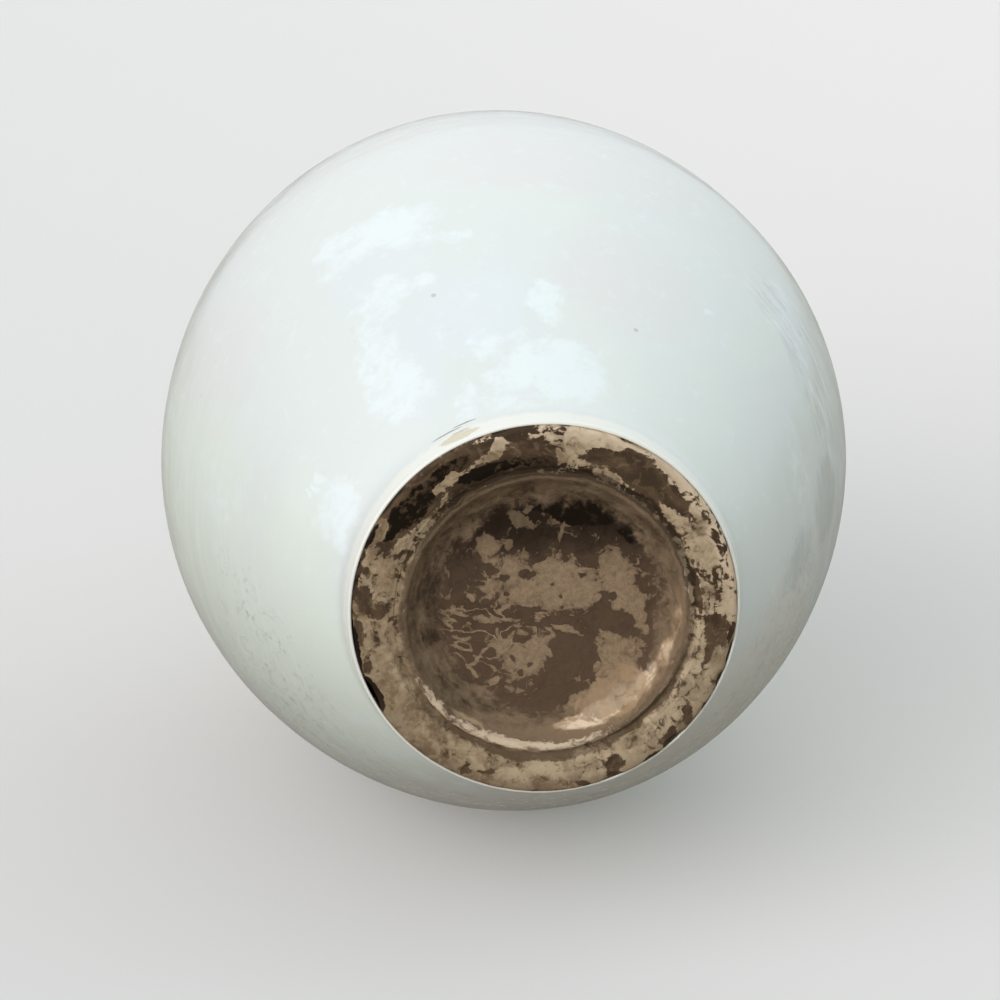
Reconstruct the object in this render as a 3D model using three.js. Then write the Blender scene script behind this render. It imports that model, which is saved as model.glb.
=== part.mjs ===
// Stoneware bottle vase: an egg-shaped bottle on a ring foot, with a flared neck. It is thrown in sections
// that are luted together with slip, and coated with a pale glaze that stops at the edge of the foot.
// Millimetres, +Z up. The origin is the centre of the ring that the vase stands on.

import * as THREE from 'three';

// Driving dimensions of the foot
const FOOT_RADIUS = 44; // outer edge of the foot ring, where it meets the table
const FOOT_HEIGHT = 11; // table to the turn where the flank starts
const FOOT_FLARE = 1.6; // how far the outside of the foot leans out over its height
const FOOT_EDGE_BEVEL = 0.8; // worn bevel round the outer edge
const FOOT_FACE_WIDTH = 7; // flat ring that touches the table
const GROOVE_DEPTH = 1.3; // turned groove just inside that ring
const GROOVE_WIDTH = 0.9;
const GROOVE_SIDE = 0.6; // run of each sloping side of the groove
const RIDGE_DROP = 0.6; // how far the ridge inside the groove stays above the table
const RIDGE_WIDTH = 0.7;
const RECESS_DEPTH = 6.5; // table to the hollow underside of the base
const RECESS_SLOPE = 5; // run of the sloping wall of the hollow
const FOOT_TURN = 3; // length of the rounded turn from foot to flank, along each side

// Driving dimensions of the body
const BASE_RADIUS = 39.5; // slab that closes the bottom
const BASE_THICKNESS = 7;
const BASE_EDGE_TAPER = 1.5; // bevel of the slab's edge, which the wall closes over
const BELLY_RADIUS = 91.2; // clay at the widest place
const BELLY_HEIGHT = 122; // table to the widest place, where the two halves are luted
const FLANK_ANGLE = 38; // lean of the flank above the foot, from upright, in degrees
const FLANK_REACH = 34; // how long the flank keeps that lean
const FLANK_FULLNESS = 27; // how far below the widest place the wall stays upright
const SHOULDER_FULLNESS = 77; // how far above the widest place the wall stays upright
const SHOULDER_RADIUS = 35; // clay at the top of the shoulder, where the neck is luted
const SHOULDER_HEIGHT = 238; // table to the top of the shoulder
const SHOULDER_ANGLE = 55; // lean of the wall there, from upright, in degrees
const SHOULDER_REACH = 36; // how long the shoulder keeps that lean
const BODY_WALL = 5.4;

// Driving dimensions of the neck and mouth
const NECK_SWEEP = 17; // how long the neck keeps the shoulder's lean
const NECK_TOP_RADIUS = 24; // clay where the mouth rim starts
const NECK_TOP_ANGLE = 17; // flare there, from upright, in degrees
const NECK_TOP_REACH = 30; // how long the neck keeps that flare
const RIM_HEIGHT = 16; // mouth rim, from the neck to the top of the vase
const RIM_SWEEP = 4; // pull of the curve at each end of the rim's outside
const LIP_RADIUS = 3; // roundness of the lip's clay
const LIP_START_ANGLE = -35; // where the lip's round starts, from level, in degrees
const MOUTH_RADIUS = 30.2; // outer edge of the lip's clay
const NECK_WALL = 4.2;
const TOTAL_HEIGHT = 330; // table to the top of the glazed lip

// Driving dimensions of the joints and the glaze
const SLIP_THICKNESS = 0.6; // layer of slip in each luted joint
const KEY_DEPTH = 1.4; // V-shaped groove and ridge that key two edges together
const GLAZE_THICKNESS = 0.8;
const LINING_THICKNESS = 0.5; // thinner glaze poured round the inside
const GLAZE_EDGE_HEIGHT = 1.4; // bare clay left between the table and the glaze
const GLAZE_CLEARANCE = 0.02; // kept between a coat of glaze and the clay, so that the two never overlap

// Smoothness
const FACETS = 40; // flats round every turned piece
const TURN_STEPS = 2; // steps up each curve of the outside
const FLANK_STEPS = 6;
const SHOULDER_STEPS = 7;
const NECK_STEPS = 5;
const RIM_STEPS = 2;
const LIP_STEPS = 5;
const INSIDE_STEPS = 4; // steps up the flank, the shoulder and the neck on the plainer inside

// Materials
const bareClay = new THREE.MeshStandardMaterial({ color: 0x8a755f, roughness: 0.92, metalness: 0 });
const innerClay = new THREE.MeshStandardMaterial({ color: 0x9a8670, roughness: 0.9, metalness: 0 });
const driedSlip = new THREE.MeshStandardMaterial({ color: 0xb9a68c, roughness: 0.95, metalness: 0 });
const paleGlaze = new THREE.MeshStandardMaterial({ color: 0xdde6e0, roughness: 0.18, metalness: 0 });
const liningGlaze = new THREE.MeshStandardMaterial({ color: 0xc9d3cb, roughness: 0.3, metalness: 0 });

const radians = THREE.MathUtils.degToRad;
const spot = (radius, height) => new THREE.Vector2(radius, height);

// The direction that leans away from upright by some degrees, positive outwards.
function lean(degrees) {
  return spot(Math.sin(radians(degrees)), Math.cos(radians(degrees)));
}

function moved(start, direction, distance) {
  return start.clone().addScaledVector(direction, distance);
}

// A station is a place on the clay's outside, with the direction that faces out there.
function stationsAlong(curve, steps, first = 0) {
  const stations = [];
  for (let step = first; step <= steps; step += 1) {
    const tangent = curve.getTangent(step / steps);
    stations.push({ place: curve.getPoint(step / steps), outward: spot(tangent.y, -tangent.x) });
  }
  return stations;
}

// The places a distance outside the stations, or inside them when the distance is negative.
function offset(stations, distance) {
  return stations.map(({ place, outward }) => moved(place, outward, distance));
}

// A turned piece: a closed outline, listed anticlockwise with radius to the right and height up.
function turned(name, outline, material) {
  const closed = outline[0].x === 0 ? outline : [...outline, outline[0].clone()];
  const geometry = new THREE.LatheGeometry(closed, FACETS);
  geometry.rotateX(Math.PI / 2);
  const mesh = new THREE.Mesh(geometry, material);
  mesh.name = name;
  return mesh;
}

// Outside of the foot, which leans out by FOOT_FLARE over its height.
function footWall(height) {
  return spot(FOOT_RADIUS + (FOOT_FLARE * height) / FOOT_HEIGHT, height);
}

// Outside of the clay from the foot to the lip, as stations
const slipTop = RECESS_DEPTH + SLIP_THICKNESS;
const footOutward = footWall(FOOT_HEIGHT).sub(footWall(0)).normalize();
const footStations = [GLAZE_EDGE_HEIGHT, RECESS_DEPTH, slipTop].map((height) => ({
  place: footWall(height),
  outward: spot(footOutward.y, -footOutward.x),
}));
const flankStart = moved(footWall(FOOT_HEIGHT), lean(FLANK_ANGLE), FOOT_TURN);
const turn = new THREE.QuadraticBezierCurve(
  moved(footWall(FOOT_HEIGHT), footOutward, -FOOT_TURN),
  footWall(FOOT_HEIGHT),
  flankStart,
);
const lowerJoint = BELLY_HEIGHT - SLIP_THICKNESS / 2;
const upperJoint = BELLY_HEIGHT + SLIP_THICKNESS / 2;
const flank = new THREE.CubicBezierCurve(
  flankStart,
  moved(flankStart, lean(FLANK_ANGLE), FLANK_REACH),
  spot(BELLY_RADIUS, lowerJoint - FLANK_FULLNESS),
  spot(BELLY_RADIUS, lowerJoint),
);
const shoulderEnd = spot(SHOULDER_RADIUS, SHOULDER_HEIGHT);
const shoulder = new THREE.CubicBezierCurve(
  spot(BELLY_RADIUS, upperJoint),
  spot(BELLY_RADIUS, upperJoint + SHOULDER_FULLNESS),
  moved(shoulderEnd, lean(-SHOULDER_ANGLE), -SHOULDER_REACH),
  shoulderEnd,
);
const neckStart = moved(shoulderEnd, lean(-SHOULDER_ANGLE), SLIP_THICKNESS);
const neckEnd = spot(NECK_TOP_RADIUS, TOTAL_HEIGHT - RIM_HEIGHT);
const neck = new THREE.CubicBezierCurve(
  neckStart,
  moved(neckStart, lean(-SHOULDER_ANGLE), NECK_SWEEP),
  moved(neckEnd, lean(NECK_TOP_ANGLE), -NECK_TOP_REACH),
  neckEnd,
);
const lipCentre = spot(MOUTH_RADIUS - LIP_RADIUS, TOTAL_HEIGHT - GLAZE_THICKNESS - LIP_RADIUS);
const lip = new THREE.EllipseCurve(
  lipCentre.x, lipCentre.y, LIP_RADIUS, LIP_RADIUS, radians(LIP_START_ANGLE), Math.PI,
);
const rim = new THREE.CubicBezierCurve(
  neckEnd,
  moved(neckEnd, lean(NECK_TOP_ANGLE), RIM_SWEEP),
  moved(lip.getPoint(0), lip.getTangent(0), -RIM_SWEEP),
  lip.getPoint(0),
);

const lowerStations = [
  ...footStations.slice(2),
  ...stationsAlong(turn, TURN_STEPS),
  ...stationsAlong(flank, FLANK_STEPS, 1),
];
const upperStations = stationsAlong(shoulder, SHOULDER_STEPS);
const neckStations = stationsAlong(neck, NECK_STEPS);
const rimStations = [...stationsAlong(rim, RIM_STEPS, 1), ...stationsAlong(lip, LIP_STEPS, 1)];

// Inside of the clay, which the lining covers
const floorTop = slipTop + BASE_THICKNESS;
const floorEdge = spot(BASE_RADIUS - BASE_EDGE_TAPER, floorTop);
const lowerInside = offset(stationsAlong(flank, INSIDE_STEPS), -BODY_WALL)
  .filter((place) => place.y > floorTop + LINING_THICKNESS);
const upperInside = stationsAlong(shoulder, INSIDE_STEPS).map(({ place, outward }, step) => {
  const wall = THREE.MathUtils.lerp(BODY_WALL, NECK_WALL, step / INSIDE_STEPS);
  return moved(place, outward, -wall);
});
const neckInside = offset(stationsAlong(neck, INSIDE_STEPS), -NECK_WALL);
const rimInside = [neckInside.at(-1), spot(lipCentre.x - LIP_RADIUS, lipCentre.y)];
const inside = [floorEdge, ...lowerInside, ...upperInside, ...neckInside, rimInside[1]];

// The V-shaped face that keys one luted edge into the next, from the outside of the wall to the inside.
function keyedEdge(outer, inner) {
  const middle = outer.clone().lerp(inner, 0.5);
  const across = inner.clone().sub(outer).normalize();
  return [outer, moved(middle, spot(across.y, -across.x), -KEY_DEPTH), inner];
}

const bellyBelow = keyedEdge(lowerStations.at(-1).place, lowerInside.at(-1));
const bellyAbove = keyedEdge(upperStations[0].place, upperInside[0]);
const neckBelow = keyedEdge(upperStations.at(-1).place, upperInside.at(-1));
const neckAbove = keyedEdge(neckStations[0].place, neckInside[0]);
const rimEdge = keyedEdge(neckStations.at(-1).place, neckInside.at(-1));

// Foot ring: resting face, bevelled edge, outer wall, flat top and the turned hollow with its groove
const faceInner = FOOT_RADIUS - FOOT_EDGE_BEVEL - FOOT_FACE_WIDTH;
const grooveOuter = faceInner - GROOVE_SIDE;
const grooveInner = grooveOuter - GROOVE_WIDTH;
const ridgeOuter = grooveInner - GROOVE_SIDE;
const ridgeInner = ridgeOuter - RIDGE_WIDTH;
const hollowRadius = ridgeInner - RECESS_SLOPE;
const footRing = turned('foot_ring', [
  spot(faceInner, 0),
  spot(FOOT_RADIUS - FOOT_EDGE_BEVEL, 0),
  footWall(FOOT_EDGE_BEVEL),
  footStations[0].place,
  footStations[1].place,
  spot(hollowRadius, RECESS_DEPTH),
  spot(ridgeInner, RIDGE_DROP),
  spot(ridgeOuter, RIDGE_DROP),
  spot(grooveInner, GROOVE_DEPTH),
  spot(grooveOuter, GROOVE_DEPTH),
], bareClay);

// Slip that holds the foot ring under the base and the wall
const footSlip = turned('foot_slip', [
  spot(hollowRadius, RECESS_DEPTH),
  footStations[1].place,
  footStations[2].place,
  spot(BASE_RADIUS, slipTop),
  spot(hollowRadius, slipTop),
], driedSlip);

// Slab base, the floor of the bottle, with a bevelled edge under the wall
const baseDisc = turned('base_disc', [
  spot(0, slipTop),
  spot(hollowRadius, slipTop),
  spot(BASE_RADIUS, slipTop),
  floorEdge,
  spot(0, floorTop),
], bareClay);

// Thrown lower half, from the foot to the widest place
const lowerBody = turned('lower_body', [
  spot(BASE_RADIUS, slipTop),
  ...lowerStations.slice(0, -1).map(({ place }) => place),
  ...bellyBelow,
  ...lowerInside.slice(0, -1).reverse(),
  floorEdge,
], innerClay);

// Slip in the belly joint
const bellySlip = turned('belly_slip', [...bellyBelow].reverse().concat(bellyAbove), driedSlip);

// Thrown upper half, from the widest place to the top of the shoulder
const upperBody = turned('upper_body', [
  ...[...bellyAbove].reverse(),
  ...upperStations.slice(1, -1).map(({ place }) => place),
  ...neckBelow,
  ...upperInside.slice(1, -1).reverse(),
], innerClay);

// Slip in the neck joint
const neckSlip = turned('neck_slip', [...neckBelow].reverse().concat(neckAbove), driedSlip);

// Neck, drawn up from a coil on the shoulder
const neckTube = turned('neck', [
  ...[...neckAbove].reverse(),
  ...neckStations.slice(1, -1).map(({ place }) => place),
  ...rimEdge,
  ...neckInside.slice(1, -1).reverse(),
], innerClay);

// Mouth rim, a flared coil with a rolled lip
const mouthRim = turned('mouth_rim', [
  ...[...rimEdge].reverse(),
  ...rimStations.map(({ place }) => place),
], innerClay);

// Glaze on the outside, from the edge of the foot over the lip
const glazedStations = [...footStations, ...lowerStations.slice(1), ...upperStations, ...neckStations, ...rimStations];
const outerGlaze = turned('outer_glaze', [
  ...offset(glazedStations, GLAZE_THICKNESS),
  ...offset(glazedStations, GLAZE_CLEARANCE).reverse(),
], paleGlaze);

// Glaze on the inside, from the lip down the wall and over the floor
function liningAt(depth) {
  const places = inside.map((place, step) => {
    const before = inside[Math.max(step - 1, 0)];
    const after = inside[Math.min(step + 1, inside.length - 1)];
    const along = after.clone().sub(before).normalize();
    return moved(place, spot(-along.y, along.x), depth);
  });
  places[0].y = floorTop + depth;
  places.at(-1).set(inside.at(-1).x - depth, inside.at(-1).y - GLAZE_CLEARANCE);
  return [spot(0, floorTop + depth), ...places];
}

const innerGlaze = turned('inner_glaze', [
  ...liningAt(GLAZE_CLEARANCE),
  ...liningAt(LINING_THICKNESS).reverse(),
], liningGlaze);

const vase = new THREE.Group();
vase.add(footRing, footSlip, baseDisc, lowerBody, bellySlip, upperBody, neckSlip, neckTube, mouthRim);
vase.add(outerGlaze, innerGlaze);

export default vase;
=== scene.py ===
"""Dresses the stoneware bottle vase: glaze coats, a worn clay foot, a plain pale studio and the camera."""

from __future__ import annotations

import logging
import math
from collections.abc import Callable, Mapping, Sequence
from dataclasses import dataclass, field
from typing import Any, ClassVar

import bmesh
import bpy
from mathutils import Matrix, Vector, noise

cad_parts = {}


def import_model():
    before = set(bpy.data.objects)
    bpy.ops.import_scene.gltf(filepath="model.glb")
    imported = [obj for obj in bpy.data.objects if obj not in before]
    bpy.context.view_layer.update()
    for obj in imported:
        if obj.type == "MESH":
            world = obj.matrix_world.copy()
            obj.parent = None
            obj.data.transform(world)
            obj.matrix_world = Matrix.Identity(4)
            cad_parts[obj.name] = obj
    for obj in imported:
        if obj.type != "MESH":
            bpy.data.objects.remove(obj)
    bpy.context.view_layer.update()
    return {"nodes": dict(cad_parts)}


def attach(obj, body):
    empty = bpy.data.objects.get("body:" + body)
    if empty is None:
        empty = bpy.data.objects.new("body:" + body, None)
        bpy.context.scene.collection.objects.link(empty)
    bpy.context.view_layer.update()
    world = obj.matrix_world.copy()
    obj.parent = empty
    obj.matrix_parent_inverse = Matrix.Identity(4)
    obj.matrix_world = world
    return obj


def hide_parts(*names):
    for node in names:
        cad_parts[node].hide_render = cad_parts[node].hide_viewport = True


LOG = logging.getLogger("bottle_vase")
MM = 0.001
Colour = tuple[float, float, float]
ProfilePoint = tuple[float, float]
Band = tuple[float, float, float, float]
Rows = tuple[tuple[float, ...], ...]
SMOOTH = {"interpolation_type": "SMOOTHSTEP"}
TOUCHING = 0.001 * MM


def seen(red: int, green: int, blue: int) -> Colour:
    """A colour as a screen shows it, from 0 to 255, turned into the linear light that a shader takes."""

    def linear(level: int) -> float:
        part = level / 255
        return part / 12.92 if part <= 0.04045 else ((part + 0.055) / 1.055) ** 2.4

    return linear(red), linear(green), linear(blue)


def around(angle: float, radius: float, height: float) -> Vector:
    """A place on the vase. The angle runs in degrees from the side that is uppermost in the picture."""
    turn = math.radians(angle)
    return Vector((radius * math.sin(turn), -radius * math.cos(turn), height))


def worked(operation: str, first: bool = True) -> Callable[["Signal", "Signal | float"], "Signal"]:
    """Makes an operator of Signal.

    Args:
        operation: What the Math node that it adds works out.
        first: Whether the signal is the node's first value, or its second, after a number.

    Returns:
        The operator.
    """

    def operator(signal: "Signal", other: "Signal | float") -> "Signal":
        """Adds the node."""
        values = {0: signal, 1: other} if first else {0: other, 1: signal}
        return signal.bench.add("ShaderNodeMath", {"operation": operation}, values)

    return operator


class Signal:
    """One output socket, which takes part in arithmetic as a number does.

    The sign | gives the larger of two values, which joins two masks, and & the smaller, which keeps what they
    share.
    """

    def __init__(self, bench: "Workbench", socket: bpy.types.NodeSocket) -> None:
        """Holds the socket and the bench that its Math nodes are added to."""
        self.bench = bench
        self.socket = socket

    def math(self, operation: str, *others: "Signal | float") -> "Signal":
        """Adds one Math node.

        Args:
            operation: The node's operation.
            others: The second and third values.

        Returns:
            The node's value.
        """
        values = dict(enumerate((self, *others)))
        return self.bench.add("ShaderNodeMath", {"operation": operation}, values)

    __add__ = worked("ADD")
    __radd__ = worked("ADD", first=False)
    __sub__ = worked("SUBTRACT")
    __rsub__ = worked("SUBTRACT", first=False)
    __mul__ = worked("MULTIPLY")
    __rmul__ = worked("MULTIPLY", first=False)
    __truediv__ = worked("DIVIDE")
    __or__ = worked("MAXIMUM")
    __and__ = worked("MINIMUM")

    def __neg__(self) -> "Signal":
        """This value with its sign turned."""
        return 0.0 - self

    def step(self, low: float, high: float) -> "Signal":
        """A soft step from 0 at low to 1 at high, or from 1 to 0 where low is above high."""
        ends = {1: low, 2: high, 3: 0.0, 4: 1.0} if low <= high else {1: high, 2: low, 3: 1.0, 4: 0.0}
        return self.bench.add("ShaderNodeMapRange", SMOOTH, {"Value": self, **ends})

    def band(self, start: float, full: float, fade: float, end: float) -> "Signal":
        """1 from full to fade and nothing before start or after end, all in millimetres."""
        return self.step(start * MM, full * MM) * self.step(end * MM, fade * MM)


class Workbench:
    """One material and the nodes that make it."""

    def __init__(self, holder: bpy.types.Material | bpy.types.World) -> None:
        """Clears the nodes of a material or a world.

        Args:
            holder: The material or the world that is made here.
        """
        self.holder = holder
        holder.use_nodes = True
        self.tree = holder.node_tree
        self.tree.nodes.clear()

    @classmethod
    def named(cls, name: str) -> "Workbench":
        """A bench for a new material of that name."""
        return cls(bpy.data.materials.new(name))

    def add(
        self,
        kind: str,
        settings: Mapping[str, Any] | None = None,
        sockets: Mapping[str | int, Any] | None = None,
        result: str | int = 0,
    ) -> Signal:
        """Adds one node of any kind.

        Args:
            kind: The node's type.
            settings: The node's own settings, set first.
            sockets: Values or signals for its input sockets, by name or number.
            result: The output that is wanted.

        Returns:
            That output.
        """
        node = self.tree.nodes.new(kind)
        for name, value in (settings or {}).items():
            setattr(node, name, value)
        for name, value in (sockets or {}).items():
            if isinstance(value, Signal):
                self.tree.links.new(value.socket, node.inputs[name])
            else:
                node.inputs[name].default_value = value
        return Signal(self, node.outputs[result]) if node.outputs else Signal(self, None)

    def place(self) -> Signal:
        """The point being shaded, in metres from the middle of the foot."""
        return self.add("ShaderNodeTexCoord", result="Object")

    def split(self, vector: Signal) -> tuple[Signal, Signal, Signal]:
        """The three parts of a vector, each as a value."""
        parts = self.add("ShaderNodeSeparateXYZ", sockets={0: vector})
        outputs = parts.socket.node.outputs
        return Signal(self, outputs[0]), Signal(self, outputs[1]), Signal(self, outputs[2])

    def join(self, x: Signal | float, y: Signal | float, z: Signal | float) -> Signal:
        """A vector made of three values."""
        return self.add("ShaderNodeCombineXYZ", sockets={0: x, 1: y, 2: z})

    def vector(self, operation: str, first: Signal, *others: Any) -> Signal:
        """Adds one Vector Math node and gives its vector, or its value for a length or a distance."""
        wanted = "Value" if operation in ("LENGTH", "DISTANCE", "DOT_PRODUCT") else "Vector"
        values = dict(enumerate((first, *others)))
        return self.add("ShaderNodeVectorMath", {"operation": operation}, values, wanted)

    def scaled(self, vector: Signal, factor: float | Signal) -> Signal:
        """A vector times one number."""
        sockets = {0: vector, "Scale": factor}
        return self.add("ShaderNodeVectorMath", {"operation": "SCALE"}, sockets, "Vector")

    def grain(
        self, where: Signal, size: float, detail: float = 4.0, rough: float = 0.55, skew: float = 0.0
    ) -> Signal:
        """Fractal noise between 0 and 1.

        Args:
            where: The place that it is read at.
            size: The distance between its largest marks, in metres.
            detail: How many finer layers it has.
            rough: How strong the finer layers are.
            skew: How far it is bent by itself.

        Returns:
            The noise.
        """
        sockets = {"Vector": where, "Scale": 1 / size, "Detail": detail, "Roughness": rough}
        return self.add("ShaderNodeTexNoise", sockets={**sockets, "Distortion": skew})

    def drift(self, where: Signal, size: float, reach: float, detail: float = 3.0) -> Signal:
        """A place moved about by noise, which tears the edge of whatever is read there.

        Args:
            where: The place before it is moved.
            size: The distance between the largest movements, in metres.
            reach: About how far it is moved, in metres.
            detail: How many finer layers the movement has.

        Returns:
            The moved place.
        """
        sockets = {"Vector": where, "Scale": 1 / size, "Detail": detail, "Roughness": 0.6}
        cloud = self.add("ShaderNodeTexNoise", sockets=sockets, result="Color")
        parts = self.add("ShaderNodeSeparateColor", sockets={0: cloud}).socket.node.outputs
        moved = self.join(Signal(self, parts[0]), Signal(self, parts[1]), Signal(self, parts[2]))
        centred = self.vector("SUBTRACT", moved, (0.5, 0.5, 0.5))
        return self.vector("ADD", where, self.scaled(centred, 2 * reach))

    def mix(self, factor: Signal | float, first: Any, second: Any) -> Signal:
        """A colour between two others.

        Args:
            factor: How much of the second colour there is.
            first: The colour at factor 0, as a signal or a linear colour.
            second: The colour at factor 1.

        Returns:
            The mixed colour.
        """
        first = first if isinstance(first, Signal) else (*first, 1.0)
        second = second if isinstance(second, Signal) else (*second, 1.0)
        return self.add("ShaderNodeMix", {"data_type": "RGBA"}, {0: factor, 6: first, 7: second}, result=2)

    def bump(self, height: Signal, depth: float) -> Signal:
        """A bumped normal.

        Args:
            height: The relief, from 0 to 1.
            depth: The distance in metres that 1 stands for.

        Returns:
            The normal.
        """
        return self.add("ShaderNodeBump", sockets={"Height": height, "Distance": depth, "Strength": 1.0})

    def finish(self, sockets: Mapping[str | int, Any]) -> bpy.types.Material:
        """Adds the surface shader and the output.

        Args:
            sockets: Values or signals for the surface shader.

        Returns:
            The finished material.
        """
        surface = self.add("ShaderNodeBsdfPrincipled", sockets=sockets)
        self.add("ShaderNodeOutputMaterial", sockets={"Surface": surface})
        return self.holder


@dataclass(frozen=True)
class Patch:
    """A soft-edged patch on the vase: its middle and its half lengths, in metres."""

    ENDLESS: ClassVar[float] = 1.0
    WALL_DEPTH: ClassVar[float] = 40 * MM
    angle: float
    radius: float
    height: float
    along: float
    inwards: float
    upright: float
    tilt: float = 0.0
    swing: float = 0.0
    weight: float = 1.0

    def axes(self) -> Matrix:
        """The patch's own directions, as columns: along, inwards and upright."""
        facing = Matrix.Rotation(math.radians(self.angle + self.swing), 3, "Z")
        return facing @ Matrix.Rotation(math.radians(self.tilt), 3, "Y")

    def at(self, place: Vector) -> float:
        """The patch's weight at one place, for a shape instead of a finish."""
        local = place - around(self.angle, self.radius, self.height)
        halves = (self.along, self.inwards, self.upright)
        parts = [local.dot(axis) / half for axis, half in zip(self.axes().col, halves) if half < self.ENDLESS]
        share = max(1 - sum(part * part for part in parts), 0.0)
        return self.weight * share * share * (3 - 2 * share)

    def falloff(self, bench: Workbench, where: Signal) -> Signal:
        """How near a place is to the middle of the patch: the weight there, and nothing at its edge.

        Args:
            bench: The material that it is read in.
            where: The place, moved about for a torn edge.

        Returns:
            The patch's weight at that place.
        """
        axes = self.axes()
        local = bench.vector("SUBTRACT", where, around(self.angle, self.radius, self.height))
        squares: Signal | float = 0.0
        for number, half in enumerate((self.along, self.inwards, self.upright)):
            if half < self.ENDLESS:
                part = bench.vector("DOT_PRODUCT", local, axes.col[number] / half)
                squares = part.math("MULTIPLY_ADD", part, squares)
        ends = {1: 0.0, 2: 1.0, 3: self.weight, 4: 0.0}
        return bench.add("ShaderNodeMapRange", SMOOTH, {"Value": squares, **ends})


def on_wall(
    angle: float, radius: float, height: float, along: float, upright: float, *weight_and_tilt: float
) -> Patch:
    """A patch on the glazed wall, in millimetres and degrees, with a weight of 1 and no tilt if not given."""
    middle = (angle, radius * MM, height * MM)
    more = dict(zip(("weight", "tilt"), weight_and_tilt))
    return Patch(*middle, along * MM, Patch.WALL_DEPTH, upright * MM, **more)


def on_clay(
    east: float, south: float, along: float, inwards: float, turn: float = 0.0, weight: float = 1.0
) -> Patch:
    """A patch on the underside, in millimetres right of its middle and down from it in the picture."""
    angle = math.degrees(math.atan2(east, -south))
    middle = (angle, math.hypot(east, south) * MM, 0.0)
    halves = (along * MM, inwards * MM, Patch.ENDLESS)
    return Patch(*middle, *halves, swing=turn - angle, weight=weight)


def gathered(bench: Workbench, where: Signal, maker: Callable[..., Patch], rows: Rows) -> Signal:
    """The sum of several patches' weights.

    Args:
        bench: The material that they are read in.
        where: The place, moved about for torn edges.
        maker: What makes a patch of a row of numbers, on_wall or on_clay.
        rows: The patches, each as that function's numbers in their order.

    Returns:
        Their sum at that place.
    """
    first, *others = [maker(*row).falloff(bench, where) for row in rows]
    return sum(others, first)


class Turning:
    """Noise drawn out along the wheel's turn, as throwing lines and wiped streaks are."""

    def __init__(self, bench: Workbench, where: Signal) -> None:
        """Works out the radius, the height and the direction from the axis.

        Args:
            bench: The material that they are used in.
            where: The place.
        """
        self.bench = bench
        self.x, self.y, self.height = bench.split(where)
        self.radius = bench.vector("LENGTH", bench.join(self.x, self.y, 0.0))
        self.east = self.x / self.radius
        self.north = self.y / self.radius

    def streaks(
        self, across: Signal, pitch: float, length: float, detail: float = 3.0, rough: float = 0.5
    ) -> Signal:
        """Streaks that run round the axis.

        Args:
            across: The distance that the streaks follow one another along, the radius or the height.
            pitch: How far apart they are.
            length: How long one is, as a share of a radian.
            detail: How many finer layers they have.
            rough: How strong the finer layers are.

        Returns:
            The noise, between 0 and 1.
        """
        where = self.bench.join(self.east / length, self.north / length, across / pitch)
        return self.bench.grain(where, 1.0, detail, rough)


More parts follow.
